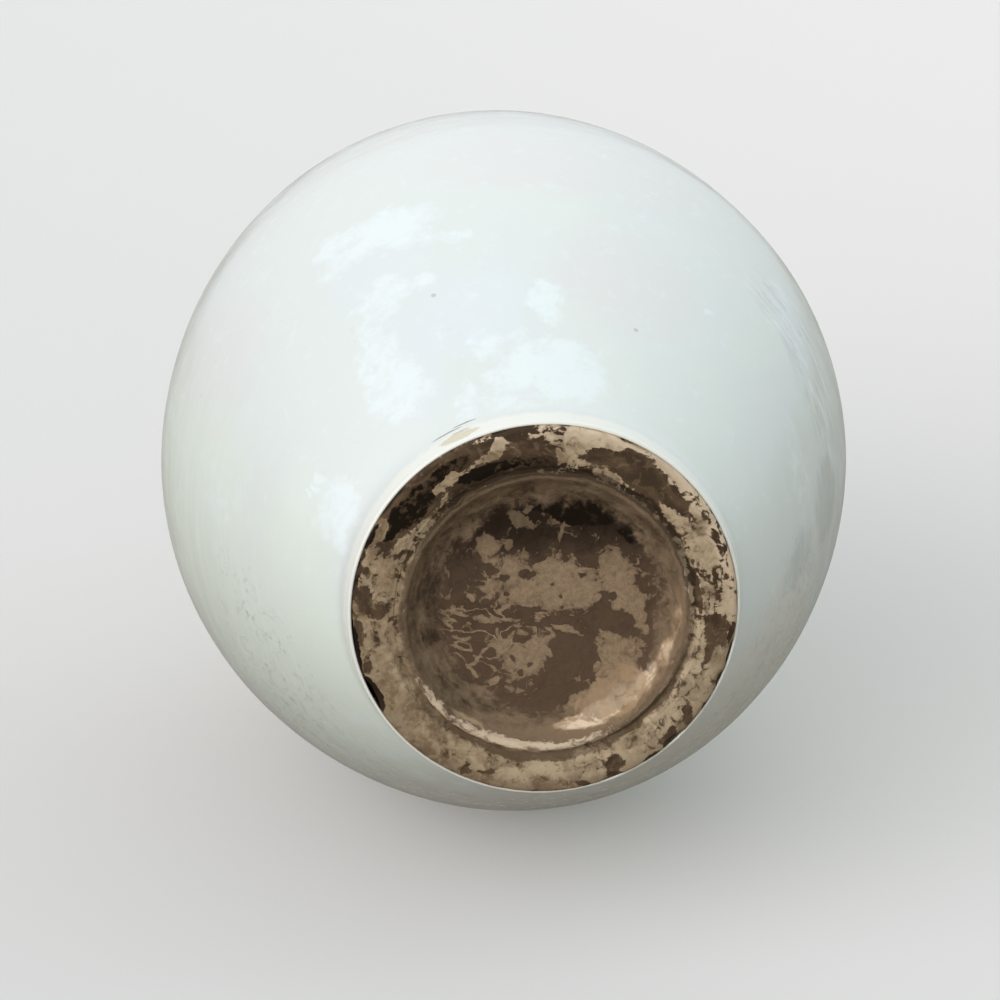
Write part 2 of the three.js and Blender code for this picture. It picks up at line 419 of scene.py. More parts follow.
@dataclass(frozen=True)
class PaleGlaze:
    """The pale greenish white glaze outside, with specks and pits, painted sky reflections as torn white
    patches and light and dark streaks, and a painted warm bounce of light low down.

    Each row of a table is one patch, with the numbers that on_wall takes.
    """

    LEFT: ClassVar[Rows] = (
        (-95, 84, 78, 66, 52), (-125, 74, 46, 50, 34), (-92, 57, 26, 44, 22), (-128, 56, 24, 40, 20),
        (50, 78, 64, 15, 24, 0.5),
    )
    # Painted warm bounce light on the lower belly.
    PAINTED_BOUNCE: ClassVar[Rows] = (
        (135, 70, 46, 62, 38), (178, 66, 40, 54, 34), (170, 80, 70, 80, 50), (118, 64, 38, 42, 34),
        (150, 52, 18, 42, 16),
    )
    ROSY: ClassVar[Rows] = (
        (12, 86, 96, 60, 26), (20, 74, 52, 26, 26), (-62, 84, 88, 24, 30, 0.8),
    )
    BLUE: ClassVar[Rows] = (
        (-12, 66, 38, 20, 19), (-28, 74, 60, 20, 14, 0.7), (-30, 60, 30, 12, 22, 0.7),
        (58, 84, 84, 16, 16, 0.6),
    )
    # Painted reflections of the sky, as torn white patches, mostly on the upper left.
    SKY_REFLECTIONS: ClassVar[Rows] = (
        (-21.0, 80.5, 74, 13, 12, 1.3), (-31.8, 81, 76, 12, 11, 1.1), (-13.5, 77, 64, 9, 4, 0.8, 18),
        (-28.8, 71, 51, 12, 9), (-35.8, 64, 38.5, 9, 9), (-35.0, 56, 25, 11, 11, 1.2),
        (-19.8, 70.6, 51, 2.6, 4.6, 1.1, -25), (-11.5, 58.4, 28.6, 4.5, 5.5, 0.8),
        (3.5, 64, 38, 6.0, 10, 1.1), (6.0, 53.5, 20, 15, 9, 1.2), (-4, 50.5, 15, 25, 8, 0.8),
        (-8, 57, 25, 9, 6, 0.6), (-63.2, 51, 16.7, 7.0, 9, 1.2, 15), (-62.0, 57, 25.5, 1.2, 3.0, 1.1),
        (-64.2, 57, 25.5, 1.2, 3.0, 1.1), (-66.4, 57, 26.5, 1.0, 2.6), (-71.5, 50.5, 16, 4.5, 8, 0.9, 10),
        (-81.5, 76, 63, 11, 14, 0.6), (-140, 54, 21, 30, 9, 0.5), (38, 75.5, 53.5, 1.3, 3.0, 1.0, 40),
        (75, 70, 48, 16, 12, 0.5),
    )
    # Painted reflections: light and dark streaks on the right.
    REFLECTION_STREAKS: ClassVar[Rows] = (
        (57, 83.5, 83, 24, 17), (69, 81.5, 76, 22, 17, 0.9),
    )
    SHADED: ClassVar[Rows] = (
        (86.5, 77.5, 66, 15, 14, 1.4), (91.5, 67, 44, 9, 11, 0.75, -20), (94, 63.5, 37, 6, 7, 0.55, -20),
    )
    PITTED: ClassVar[Rows] = (
        (-122, 74, 50, 52, 38), (118, 68, 44, 48, 38), (178, 70, 42, 66, 36, 0.6),
    )
    SPECKS: ClassVar[Rows] = (
        (-19.5, 67.9, 45.5, 0.9, 0.9), (22.8, 62.1, 34.7, 0.8, 0.8),
    )
    STAIN: ClassVar[Rows] = (
        (-25.5, 45.4, 4.6, 6.5, 2.6),
    )
    SCRATCHES: ClassVar[Rows] = (
        (-28.5, 46.0, 8.6, 5.6, 0.42), (-22.5, 46.2, 9.4, 4.2, 0.36), (-24, 45.5, 6.6, 3.0, 0.3),
    )
    green: Colour = seen(225, 235, 223)
    cool: Colour = seen(222, 229, 223)
    # Tint of the painted warm bounce light.
    warm: Colour = seen(228, 228, 217)
    rosy: Colour = seen(224, 224, 220)
    # White of the painted sky reflections, also used for the light crazing lines.
    sky_and_craze_white: Colour = seen(231, 241, 239)
    blue: Colour = seen(222, 230, 236)
    grey: Colour = seen(160, 170, 162)
    pit: Colour = seen(128, 130, 116)
    shade: Colour = seen(112, 128, 122)
    scratch: Colour = seen(128, 112, 84)
    speck: Colour = seen(88, 86, 80)
    # White of the painted reflection streaks.
    bright: Colour = seen(246, 252, 251)
    cream: Colour = seen(240, 240, 228)
    ochre: Colour = seen(206, 196, 158)
    roughness: float = 0.16
    pit_spacing: float = 2.8 * MM
    relief_depth: float = 0.12 * MM

    def ground(self, bench: Workbench, where: Signal) -> Signal:
        """The cloudy ground colour: cool on top, greener on the left, rosy on the right, and warmer low down
        with a painted warm bounce of light.
        """
        cloud = bench.grain(where, 50 * MM, 3.0, 0.5) - 0.5
        wide = bench.drift(where, 30 * MM, 8 * MM)
        left = gathered(bench, wide, on_wall, self.LEFT)
        colour = bench.mix((left + cloud * 2.0).step(0.0, 1.0), self.cool, self.green)
        # Painted warm bounce light low on the belly, over the ground colour.
        low = gathered(bench, wide, on_wall, self.PAINTED_BOUNCE)
        colour = bench.mix((low + cloud * 1.5).step(0.0, 1.6), colour, self.warm)
        rosy = gathered(bench, wide, on_wall, self.ROSY)
        colour = bench.mix((rosy + cloud).step(0.0, 1.1) * 0.7, colour, self.rosy)
        blue = gathered(bench, bench.drift(where, 16 * MM, 7 * MM, 4.0), on_wall, self.BLUE)
        return bench.mix(blue.step(0.0, 1.2) * 0.45, colour, self.blue)

    def sky_reflection(self, bench: Workbench, where: Signal) -> Signal:
        """How much painted sky reflection there is, drawn as a cloudy white glaze: above one half it is a
        torn white patch.
        """
        torn = bench.drift(bench.drift(where, 12 * MM, 5.0 * MM, 4.0), 2.5 * MM, 0.9 * MM, 4.0)
        reflection_grain = bench.grain(where, 6 * MM, 6.0, 0.72, 0.2)
        grit = bench.grain(where, 1.8 * MM, 3.0, 0.6)
        _, across, height = bench.split(where)
        unseen = height.step(120 * MM, 160 * MM) | across.step(10 * MM, 50 * MM)
        clouds = bench.grain(torn, 42 * MM, 2.0, 0.5).step(0.52, 0.72) * unseen
        patches = gathered(bench, torn, on_wall, self.SKY_REFLECTIONS)
        return patches + clouds * 0.9 + (reflection_grain - 0.5) * 4.0 + (grit - 0.5) * 0.9

    def streaked(self, bench: Workbench, where: Signal, colour: Signal) -> Signal:
        """Painted reflections as faint light and dark streaks, and teal marks, on the right of the picture.

        Args:
            bench: The material.
            where: The place.
            colour: The colour below them.

        Returns:
            The colour with them.
        """
        wavy = bench.drift(where, 9 * MM, 2.6 * MM, 4.0)
        bent = Turning(bench, wavy)
        streak = bent.streaks(bent.height, 2.3 * MM, 0.12, 4.0, 0.62)
        # Painted reflections as light and dark streaks.
        side = gathered(bench, wavy, on_wall, self.REFLECTION_STREAKS).step(0.05, 0.8)
        colour = bench.mix(streak.step(0.49, 0.38) * side * 0.20, colour, self.grey)
        colour = bench.mix(streak.step(0.52, 0.68) * side * 0.50, colour, self.bright)
        shade = gathered(bench, bench.drift(where, 6 * MM, 3.0 * MM, 4.0), on_wall, self.SHADED)
        x, y, height = bench.split(where)
        brushed = bench.grain(bench.join(x / 3, y / 9, height), 2.4 * MM, 3.0, 0.6)
        shade = (shade * ((brushed - 0.5) * 2.6 + 1.0)).step(0.05, 1.10)
        return bench.mix(shade * 0.24, colour, self.shade)

    def pitted(
        self, bench: Workbench, where: Signal, crackle: Signal, colour: Signal
    ) -> tuple[Signal, Signal]:
        """Pits and crazing low on the belly, and two dark specks.

        Args:
            bench: The material.
            where: The place.
            crackle: The noise of the crazing.
            colour: The colour below them.

        Returns:
            The colour with them, and where the pits are.
        """
        shaken = bench.drift(where, 4 * MM, 0.9 * MM)
        sockets = {"Vector": shaken, "Scale": 1 / self.pit_spacing}
        cells = bench.add("ShaderNodeTexVoronoi", sockets=sockets)
        chance = bench.grain(where, 1.7 * MM, 0.0)
        low = gathered(bench, bench.drift(where, 20 * MM, 9 * MM), on_wall, self.PITTED)
        spread = low.step(0.0, 1.1)
        pits = (cells + (1 - chance) * 0.6).step(0.52, 0.36) * spread
        colour = bench.mix(pits * 0.45, colour, self.pit)
        colour = bench.mix(crackle.step(0.53, 0.64) * spread * 0.20, colour, self.sky_and_craze_white)
        colour = bench.mix(crackle.step(0.46, 0.40) * spread * 0.30, colour, self.grey)
        marks = gathered(bench, bench.drift(where, 2 * MM, 0.25 * MM), on_wall, self.SPECKS)
        return bench.mix(marks.step(0.15, 0.9) * 0.30, colour, self.speck), pits

    def edged(
        self, bench: Workbench, where: Signal, height: Signal, crackle: Signal, colour: Signal
    ) -> Signal:
        """The cream band above the foot, with a small stain and some scratches.

        Args:
            bench: The material.
            where: The place.
            height: How high it lies.
            crackle: The noise that frays their edges.
            colour: The colour below them.

        Returns:
            The colour with them.
        """
        foot_wall = (height + (crackle - 0.5) * 6 * MM).step(8 * MM, 5.5 * MM)
        colour = bench.mix(foot_wall * 0.75, colour, self.cream)
        shaken = bench.drift(where, 3 * MM, 0.8 * MM)
        stained = gathered(bench, shaken, on_wall, self.STAIN)
        colour = bench.mix((stained + (crackle - 0.5) * 2).step(0.25, 0.7) * 0.75, colour, self.ochre)
        scratches = gathered(bench, bench.drift(where, 3 * MM, 0.3 * MM), on_wall, self.SCRATCHES)
        return bench.mix((scratches + (crackle - 0.5) * 1.2).step(0.3, 0.7) * 0.7, colour, self.scratch)

    def material(self) -> bpy.types.Material:
        """Makes the material."""
        bench = Workbench.named("pale_glaze")
        where = bench.place()
        turning = Turning(bench, where)
        crackle = bench.grain(where, 5 * MM, 6.0, 0.75, 1.2)
        colour = self.ground(bench, where)
        # Painted sky reflections, as torn white patches.
        colour = bench.mix(self.sky_reflection(bench, where).step(0.12, 1.45) * 0.85, colour, self.sky_and_craze_white)
        colour = self.streaked(bench, where, colour)
        colour, pits = self.pitted(bench, where, crackle, colour)
        colour = self.edged(bench, where, turning.height, crackle, colour)

        rings = turning.streaks(turning.height, 3.0 * MM, 0.8, 2.0)
        relief = rings * 0.6 + bench.grain(where, 6 * MM, 3.0) * 0.6 - pits * 0.2
        gloss = bench.grain(where, 12 * MM, 4.0).step(0.3, 0.7) * 0.10 + self.roughness
        return bench.finish(
            {
                "Base Color": colour,
                "Roughness": gloss + pits * 0.2,
                "IOR": 1.5,
                "Normal": bench.bump(relief, self.relief_depth),
            }
        )


@dataclass(frozen=True)
class LiningGlaze:
    """The thinner glaze inside, streaked where it ran."""

    body: Colour = seen(196, 201, 190)
    thin: Colour = seen(172, 174, 158)
    pit: Colour = seen(120, 116, 100)

    def material(self) -> bpy.types.Material:
        """Makes the material."""
        bench = Workbench.named("lining_glaze")
        where = bench.place()
        turning = Turning(bench, where)
        cloud = bench.grain(where, 20 * MM, 4.0).step(0.35, 0.65)
        colour = bench.mix(cloud, self.body, self.thin)
        ribs = turning.streaks(turning.height, 5 * MM, 1.5, 2.0)
        colour = bench.mix(ribs.step(0.55, 0.7) * 0.4, colour, self.thin)
        cells = bench.add("ShaderNodeTexVoronoi", {}, {"Vector": where, "Scale": 1 / (4.0 * MM)})
        pits = cells.step(0.2, 0.1)
        colour = bench.mix(pits * 0.5, colour, self.pit)
        return bench.finish(
            {
                "Base Color": colour,
                "Roughness": 0.28 + cloud * 0.1,
                "IOR": 1.5,
                "Normal": bench.bump(ribs - pits * 0.3, 0.25 * MM),
            }
        )


class FootSite:
    """The place being shaded on the foot, and the noises that its layers share."""

    def __init__(self, bench: Workbench) -> None:
        """Adds the noises.

        Args:
            bench: The foot's material.
        """
        self.bench = bench
        self.where = bench.place()
        self.turning = Turning(bench, self.where)
        # Dark stains together with painted shade, set by the material.
        self.stain: Signal | float = 0.0
        self.coarse = bench.grain(self.where, 8 * MM, 4.0, 0.60, 0.5)
        self.middling = bench.grain(self.where, 2.8 * MM, 3.0, 0.60, 1.0)
        self.fine = bench.grain(self.where, 1.2 * MM, 4.0, 0.65, 0.6)
        across = self.turning.radius + (self.coarse - 0.5) * 5 * MM
        self.swept = self.turning.streaks(across, 2.2 * MM, 0.22, 4.0, 0.6)
        self.brushed = self.turning.streaks(across, 1.1 * MM, 0.30, 3.0, 0.55)

    def ragged(self, **shares: float) -> Signal:
        """Several of the noises together, each about nothing and times its share."""
        first, *others = [(getattr(self, name) - 0.5) * share for name, share in shares.items()]
        return sum(others, first)


@dataclass(frozen=True)
class FootClay:
    """The bare clay of the foot: brown, under a torn buff wash, with dark kiln stains mixed with painted
    shade, and painted light and highlights where the hollow and the ring face the light.

    Each row of a table is one patch, with the numbers that on_clay takes. A wash is gone where its weight is
    below nothing.
    """

    RING_WASH: ClassVar[Rows] = (
        (9, -40.5, 11, 4.2, 8, 1.7), (4.5, -36.6, 2.6, 1.2, -35, 1.2), (-11.5, -39, 1.6, 4.2, 25, 2.4),
        (-23, -31.5, 5.6, 1.7, -36, 2.6), (15.5, -32, 1.9, 1.7, 40, 2.2), (28, -23, 5.8, 2.1, 36, 2.4),
        (36, -15, 3.8, 7.4, -20, 1.3), (28, -33, 8, 1.6, 50, 1.2), (-37, -21, 2.2, 3.4, 25, 1.5),
        (-33, -16.5, 1.2, 2.4, 32, 1.8), (-37, -11, 3.0, 6.0, 0.0, 0.9), (-4.5, -37.8, 8.5, 4.8, 0.0, -1.6),
        (-19, -37.5, 8, 3.6, -28, -1.2), (-30, -27, 9.5, 6.6, -48, -2.0), (-11, -34, 9, 3.2, -15, -1.6),
        (13.5, -36.6, 7.5, 2.7, 12, -1.9), (21, -33, 9.5, 4.4, 34, -2.2), (29.5, -26.5, 6.5, 2.4, 50, -1.2),
        (24.5, -26.5, 10, 2.8, 44, -2.3), (-38, 3, 5, 14, 0.0, -0.25), (39, -8, 4.5, 8, 0.0, 0.15),
        (-34, -20, 2.4, 4.4, 35, -1.4), (39.5, 5.2, 3.8, 4.8, 0.0, -1.9), (34.2, -5, 1.3, 8.0, -14, -1.2),
        (37.5, 11, 1.4, 5.0, 18, -0.9), (33, 25.5, 1.5, 3.0, -15, -1.7), (28.8, 31, 3.2, 1.9, -45, -1.7),
        (16, 38, 2.6, 4.0, 18, -1.8), (8.7, 42, 2.2, 1.1, 0.0, -1.4), (-13.5, 38.5, 3.2, 0.7, 4, -1.3),
        (-18, 38.2, 1.2, 1.6, 30, -1.2), (-41, -4.5, 2.6, 3.6, 0.0, -1.5),
        (-42.5, 3.5, 1.8, 4.0, 0.0, -1.4), (-38, -1, 1.8, 2.6, 20, -1.0), (-40.5, 11, 1.6, 3.0, 0.0, -0.9),
        (0, 39, 22, 5, 0.0, 0.35), (-33, 18, 6, 14, -30, 0.45),
    )
    FLOOR_WASH: ClassVar[Rows] = (
        (-1.0, -4.5, 16.5, 9.5, 8, 1.2), (6, -4, 10, 7, 0.0, 0.8), (-4, 12.5, 9.5, 8.0),
        (17.5, -5, 4.8, 11, -14, 1.5), (22.5, 2.5, 2.8, 7.5, -8, 1.4), (17.5, 14.5, 9.5, 10, -35, 1.5),
        (12, 24.5, 9.5, 4.6, -18, 1.9), (-5, -20, 4.0, 2.4, 30, 1.7), (-3.3, -22.7, 1.3, 1.2, 0.0, 1.6),
        (-12.5, -14.5, 3.1, 2.6, 0.0, 1.4), (-8, -14.5, 1.6, 2.1, 0.0, 1.5),
        (13.5, -21, 2.0, 2.0, 0.0, 0.9), (-12, 19, 1.1, 1.1, 0.0, 1.5), (-8, 25.5, 1.1, 0.7, 0.0, 1.5),
        (-22.5, 18, 0.8, 0.8, 0.0, 1.5), (16.5, 4.5, 5.4, 3.8, 22, -2.9), (6.8, 13, 7.6, 6.6, 15, -1.9),
        (2, 22.5, 4.5, 7, 0.0, -1.4), (25.5, 3, 0.8, 4.6, 0.0, -1.6), (10.6, -10.5, 3.4, 2.2, 35, -1.4),
        (0.5, 4.6, 7.0, 1.5, 4, -1.6), (13.2, 0.5, 1.6, 3.6, 25, -1.5), (-12, -8.5, 2.6, 1.4, 20, -1.0),
    )
    FLOOR_LINES: ClassVar[Rows] = (
        (4.3, -17, 0.7, 3.8, 10), (5.5, 6.6, 6, 0.9, 18), (-13, 3.6, 4.4, 0.9, 6),
        (-19.5, 1.8, 3.2, 0.6, 20), (-18.5, 8, 3.6, 0.7, 8), (-19, 10.5, 3.6, 0.7, 16),
        (-16, 16.5, 2.8, 0.6, 52), (-15, 12.8, 4.4, 0.6, -36), (-24.5, -4, 3.2, 0.6, 50),
        (-16.5, -2, 1.6, 0.7, 45), (-21.8, 4.8, 2.6, 0.6, 62), (1, 11.5, 3.8, 0.8, 50),
        (-22.5, -9, 2.4, 0.5, 70), (-1.5, 5, 0.8, 2.6, 10),
    )
    FLOOR_HOLES: ClassVar[Rows] = (
        (-4, -7, 2.2, 1.6), (-1, -10.5, 2.5, 1.1, -12), (6.5, -6.5, 1.4, 1.2), (9, -6.5, 1.2, 1.2),
        (2, -4.5, 1.1, 1.1), (4, -2, 1.0, 1.0), (-9, -6.5, 1.3, 0.8), (-3.5, 2, 3.6, 1.4, -10),
        (4.5, 3, 1.8, 1.2), (-4.5, 8.5, 3.0, 1.4), (-7, 13.5, 1.0, 1.0), (-5.3, 16.8, 1.1, 1.1),
        (-3, 15, 1.1, 0.8), (16, -1.5, 1.4, 1.4), (21, 7.5, 1.4, 1.2), (10, 18.3, 1.0, 1.0),
        (-8.6, -2.2, 1.0, 0.8),
    )
    # Dark kiln stains together with painted shade at the top of the hollow and along the outer edge.
    STAINS_AND_SHADE: ClassVar[Rows] = (
        (-30.4, -25.8, 8.8, 4.6, -48, 1.35), (-22, -34.5, 8, 2.4, -34), (-13, -34.2, 10, 2.4, -20, 1.5),
        (-3, -36, 7, 2.0, -4, 0.9), (-35, -20, 1.2, 3.6, 35, 1.2), (-39.6, 18.4, 1.7, 6.0, -26, 2.4),
        (-43.2, 8, 1.2, 10, -9, 2.2), (-43.2, -8, 0.8, 7, 11, 1.4), (-39.3, -19.5, 0.9, 5, 27, 1.2),
        (40.4, 19.6, 0.9, 3.0, 26, 1.3), (29.2, 32, 2.6, 0.9, -48, 1.2), (42.8, 6, 1.0, 4.0, 8, 0.9),
        (37.6, 23.4, 0.9, 3.6, 33, 1.3), (25.0, 35.9, 3.4, 0.9, -35, 1.3), (8, -21.8, 10, 3.8, 12, 1.7),
        (-2, -23.5, 7, 2.0), (20, -17.0, 6.5, 3.4, 46), (-16.5, -19.5, 8, 2.6, -44, 0.9),
    )
    VEINED: ClassVar[Rows] = (
        (-16, 7, 13, 14, 0.0, 1.3), (-2, 6, 15, 7),
    )
    # Painted highlight: the lit crescent of the wall at the lower right.
    CRESCENT: ClassVar[Rows] = (
        (8, 28.6, 7, 1.6, -13, 1.3), (13.2, 26.4, 6, 2.6, -26, 1.6), (18.4, 22.8, 6, 3.2, -40, 2.1),
        (23.6, 17.6, 5, 2.8, -54, 1.2), (28.2, 11.5, 5, 1.6, -68, 0.7), (30.5, 4, 6, 1.4, -82, 0.4),
        (-18, 26.0, 7, 0.7, 34, 0.6),
    )
    DUSTED: ClassVar[Rows] = (
        (9, -41, 14, 5, 8), (28, 24, 15, 5, -50), (4, 38, 24, 3.6),
    )
    # Painted light on the lit lower right of the hollow.
    LIT_LOWER_RIGHT: ClassVar[Rows] = (
        (16, 22, 12, 5.5, -35, 1.6),
    )
    brown: Colour = seen(92, 75, 56)
    umber: Colour = seen(62, 49, 36)
    black: Colour = seen(27, 19, 11)
    olive: Colour = seen(98, 84, 56)
    buff: Colour = seen(186, 167, 136)
    sand: Colour = seen(142, 121, 94)
    rose: Colour = seen(148, 126, 102)
    # Cream of the wash flecks, and of the painted highlights on the wall, the ring's inner edge and the outer
    # wall.
    cream: Colour = seen(234, 213, 184)
    # Golden tone of the painted light in the hollow.
    lit_golden: Colour = seen(178, 149, 114)
    floor_brown: Colour = seen(87, 70, 56)
    # Floor tone under painted light, toward the bottom.
    floor_lit: Colour = seen(98, 80, 63)
    floor_buff: Colour = seen(157, 135, 107)
    # Shaded and lit tones of the wall, for its painted light and shade.
    wall_shaded: Colour = seen(64, 51, 38)
    wall_lit: Colour = seen(134, 114, 90)
    # Band of the painted shade in the groove.
    groove: Band = (34.4, 35.0, 36.3, 37.0)
    # Band of the painted shade on the ring's inner bevel at the lower right.
    shelf: Band = (32.0, 32.5, 34.4, 35.0)
    # Band of the painted shadow under the ring's inner edge at the top.
    lip_shadow: Band = (32.2, 32.9, 34.4, 35.6)
    # Band of the painted highlight along the ring's inner edge on the lower side.
    crest: Band = (31.9, 32.5, 33.6, 34.2)
    relief_depth: float = 0.35 * MM

    def floor(self, site: FootSite) -> Signal:
        """The floor of the hollow: brown clay with what is left of the wash, with painted light toward the
        bottom and painted shade toward the top.

        Args:
            site: The place and the noises there.

        Returns:
            The colour.
        """
        bench, where, south = site.bench, site.where, site.turning.y
        torn = bench.drift(where, 5 * MM, 2.4 * MM, 3.0)
        shaken = bench.drift(where, 3.0 * MM, 1.3 * MM, 2.0)
        patches = gathered(bench, torn, on_clay, self.FLOOR_WASH)
        lines = gathered(bench, shaken, on_clay, self.FLOOR_LINES)
        holes = gathered(bench, shaken, on_clay, self.FLOOR_HOLES)
        x, y, _ = bench.split(shaken)
        along = bench.join((x + y * 0.3) * 0.4, y - x * 0.3, 0.0)
        curl = bench.grain(along, 5 * MM, 1.5, 0.5, 0.6)
        veined = gathered(bench, where, on_clay, self.VEINED)
        veins = (curl - 0.5).math("ABSOLUTE").step(0.032, 0.008) * veined
        uneven = site.ragged(coarse=2.6, middling=3.6, fine=0.7)
        thickness = patches * 0.95 + uneven + lines * 1.3 + veins * 0.8 - holes * 1.4 - site.stain - 0.36
        wash = thickness.step(-0.12, 0.30)
        ground = bench.mix(site.middling.step(0.38, 0.64) * 0.55, self.floor_brown, self.umber)
        ground = bench.mix(site.coarse.step(0.46, 0.64) * 0.40, ground, self.brown)
        # Stains and painted shade, in black.
        ground = bench.mix(site.stain, ground, self.black)
        # Painted light: the floor is lighter toward the bottom.
        low = (south + (site.coarse - 0.5) * 16 * MM).step(-8 * MM, 14 * MM)
        ground = bench.mix(low * 0.62, ground, self.floor_lit)
        # Painted shade: the floor darkens toward the top.
        top = (south + (site.coarse - 0.5) * 14 * MM).step(-7 * MM, -20 * MM)
        ground = bench.mix(top * 0.82, ground, self.black)
        paint = bench.mix(site.fine.step(0.40, 0.66) * 0.35, self.floor_buff, self.brown)
        paint = bench.mix(thickness.step(0.9, 0.1) * 0.35, paint, self.brown)
        # Painted shade on the wash toward the top.
        paint = bench.mix(top * 0.55, paint, self.umber)
        return bench.mix(wash * 0.92, ground, paint)

    def wall(self, site: FootSite) -> Signal:
        """The sloping wall of the hollow, wiped smooth, with painted light that is brightest at the lower
        right, where it faces the light, and painted shade next to the floor.

        Args:
            site: The place and the noises there.

        Returns:
            The colour.
        """
        bench, turning = site.bench, site.turning
        # Painted light and shade: darker next to the floor, lighter on the sides that face the light.
        outwards = (((turning.radius & 32.0 * MM) - 29.5 * MM) * (0.09 / MM)) | -0.22
        lit_lower_right = ((turning.north + turning.east) * 0.7) | 0.0
        light = outwards + turning.north * 0.24 + turning.east * 0.02 + lit_lower_right * 0.46 + 0.20
        light = light + (-turning.north | 0.0) * 0.58 + (-turning.east | 0.0) * 0.26
        light = light + site.ragged(swept=1.3, brushed=1.0, middling=0.9)
        colour = bench.mix(light.step(-0.10, 1.05), self.wall_shaded, self.wall_lit)
        colour = bench.mix(site.coarse.step(0.50, 0.62) * 0.3, colour, self.rose)
        # Painted highlight on the lit lower right of the wall, golden to cream.
        lit = gathered(bench, bench.drift(site.where, 4 * MM, 0.9 * MM, 2.0), on_clay, self.CRESCENT)
        streaky = site.ragged(brushed=4.2, swept=1.6, middling=1.4)
        smooth = (lit * 1.3 + site.ragged(swept=0.8)).step(0.0, 1.0)
        colour = bench.mix(smooth * 0.75, colour, self.lit_golden)
        return bench.mix((lit * (streaky + 1.15)).step(0.25, 1.60) * 0.92, colour, self.cream)

    def ring(self, site: FootSite) -> Signal:
        """The face and the side of the ring, with painted shade on the lower side of its outer wall and a
        painted highlight on the upper side.

        Args:
            site: The place and the noises there.

        Returns:
            The colour.
        """
        bench, turning = site.bench, site.turning
        torn = bench.drift(site.where, 4.5 * MM, 2.0 * MM, 4.0)
        patches = gathered(bench, torn, on_clay, self.RING_WASH)
        upper = (turning.north - turning.east * 0.1).step(0.25, -0.45)
        uneven = site.ragged(coarse=2.0, middling=3.4, fine=0.9) * (upper * 0.45 + 0.65)
        thickness = patches * 0.95 + uneven - site.stain * 1.5 - upper * 0.40 + 0.44
        thickness = thickness + (site.swept - 0.5) * (1.4 + upper * 3.8)
        wash = thickness.step(-0.16, 0.34)
        ground = bench.mix(site.swept.step(0.60, 0.40) * 0.8, self.brown, self.umber)
        ground = bench.mix(site.middling.step(0.54, 0.66) * 0.30, ground, self.sand)
        # Stains and painted shade, in black.
        ground = bench.mix(site.stain, ground, self.black)
        pale = gathered(bench, torn, on_clay, self.DUSTED)
        tone = site.coarse * 0.6 + site.middling * 0.4 + pale * 0.12
        tone = tone + turning.north * 0.03 + turning.east * 0.08
        paint = bench.mix(tone.step(0.36, 0.68), self.sand, self.buff)
        for spread, low, high, share, tint in (
            (site.coarse, 0.50, 0.38, 0.40, self.brown),
            (site.middling, 0.46, 0.34, 0.45, self.olive),
            (site.swept, 0.44, 0.34, 0.35, self.rose),
            (site.fine, 0.54, 0.74, 0.25, self.cream),
        ):
            paint = bench.mix(spread.step(low, high) * share, paint, tint)
        colour = bench.mix(wash, ground, paint)
        outer = (turning.radius + (site.middling - 0.5) * 5 * MM).step(39.6 * MM, 43.6 * MM)
        # Painted shade on the lower side of the outer wall, which faces away from the light.
        shaded_lower_side = (turning.north + turning.east * 0.25).step(-0.1, 0.6)
        colour = bench.mix(outer * shaded_lower_side * 0.45, colour, self.brown)
        # Painted highlight on the upper side of the outer wall, which faces the light.
        lit_upper_side = (turning.east * 0.45 - turning.north * 0.85).step(0.15, 0.75)
        return bench.mix(outer * lit_upper_side * wash * 0.50, colour, self.cream)

    def material(self) -> bpy.types.Material:
        """Makes the material."""
        bench = Workbench.named("foot_clay")
        site = FootSite(bench)
        where, turning = site.where, site.turning
        coarse, middling, swept = site.coarse, site.middling, site.swept
        torn = bench.drift(bench.drift(where, 5 * MM, 1.4 * MM, 4.0), 1.6 * MM, 0.7 * MM, 3.0)
        uneven = site.ragged(coarse=2.2, middling=3.0, swept=3.4)
        # Stains mixed with painted shade; the same mask darkens the floor and the ring.
        site.stain = (gathered(bench, torn, on_clay, self.STAINS_AND_SHADE) * (uneven + 1.0)).step(0.30, 0.90)

        frayed = turning.radius + site.ragged(coarse=9 * MM, middling=5 * MM)
        frayed = frayed - turning.east * 2.0 * MM - turning.north * 0.8 * MM
        inside = bench.mix(frayed.step(24.2 * MM, 27.2 * MM), self.floor(site), self.wall(site))
        # Painted light: buff and golden tones where the hollow's lower right faces the light.
        lit_lower_right = gathered(bench, bench.drift(where, 4 * MM, 1.2 * MM), on_clay, self.LIT_LOWER_RIGHT)
        lit_buff = bench.mix(middling.step(0.40, 0.62) * 0.6, self.floor_buff, self.lit_golden)
        lit_buff = bench.mix(coarse.step(0.52, 0.66) * 0.4, lit_buff, self.brown)
        inside = bench.mix((lit_lower_right + (middling - 0.5) * 2.6).step(0.4, 0.9) * 0.75, inside, lit_buff)
        broken = turning.radius + site.ragged(coarse=2.2 * MM, swept=2.2 * MM, middling=1.4 * MM)
        colour = bench.mix(broken.step(33.0 * MM, 33.8 * MM), inside, self.ring(site))

        # Painted shade in the groove on the lower side.
        nearer = broken + turning.east.math("ABSOLUTE") * 1.5 * MM
        groove = nearer.band(*self.groove) * (turning.north + turning.east * 0.10).step(0.0, 0.75)
        colour = bench.mix(groove * (swept.step(0.30, 0.50) * 0.45 + 0.45), colour, self.brown)
        # Painted shade on the ring's inner bevel at the lower right.
        lower_right = (turning.north + turning.east).step(0.85, 1.30)
        shelf = broken.band(*self.shelf) * lower_right
        colour = bench.mix(shelf * (swept.step(0.34, 0.56) * 0.30 + 0.12), colour, self.umber)
